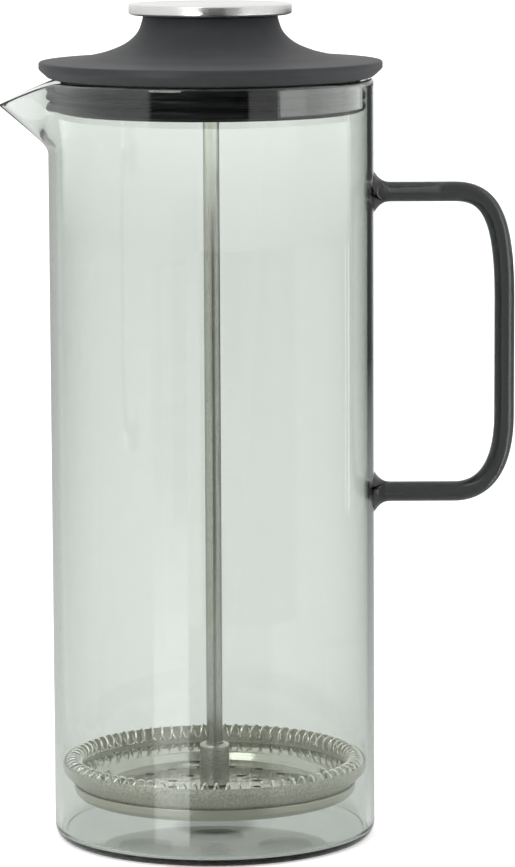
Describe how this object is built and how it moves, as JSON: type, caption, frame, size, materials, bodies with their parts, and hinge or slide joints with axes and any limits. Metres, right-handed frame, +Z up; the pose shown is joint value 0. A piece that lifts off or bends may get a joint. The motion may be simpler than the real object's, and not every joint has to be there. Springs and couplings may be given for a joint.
{
  "type": "french press",
  "caption": "Tall glass french press with a pulled spout, a bent glass-rod handle, a flared ribbed lid and a sliding plunger with a coil-sprung mesh filter.",
  "frame": {"origin": "centre of the jug's base, on the surface it stands on", "axes": "+Z up along the jug and the plunger rod, -X towards the spout, +X towards the handle"},
  "size_m": [0.1583, 0.1054, 0.2585],
  "materials": {
    "jug_glass": "clear, faint grey-green tint",
    "handle_glass": "clear, dark smoke tint",
    "lid_plastic": "matte, fine grain",
    "insert_plastic": "satin",
    "gasket_silicone": "matte silicone",
    "knob_steel": "turned and brushed",
    "brass": "plain",
    "rod_steel": "satin",
    "plate_steel": "polished",
    "mesh_steel": "woven wire"
  },
  "bodies": {
    "jug": {"glass_body": "jug_glass", "glass_handle": "handle_glass"},
    "lid": {"lid_shell": "lid_plastic", "lid_insert": "insert_plastic", "lid_gasket": "gasket_silicone", "rod_guide": "rod_steel", "guide_nut": "rod_steel"},
    "plunger": {"knob_disc": "knob_steel", "knob_core": "insert_plastic", "knob_insert": "brass", "plunger_rod": "rod_steel", "hub_sleeve": "rod_steel", "spiral_plate": "plate_steel", "rim_spring": "plate_steel", "mesh_screen": "mesh_steel", "cross_plate": "rod_steel", "clamp_nut": "rod_steel"}
  },
  "joints": [
    {"name": "lid_lift", "type": "slide", "parent": "jug", "child": "lid", "axis": [0, 0, 1], "range_m": [0, 0.234]},
    {"name": "plunger_slide", "type": "slide", "parent": "lid", "child": "plunger", "axis": [0, 0, 1], "range_m": [0, 0.19]}
  ]
}
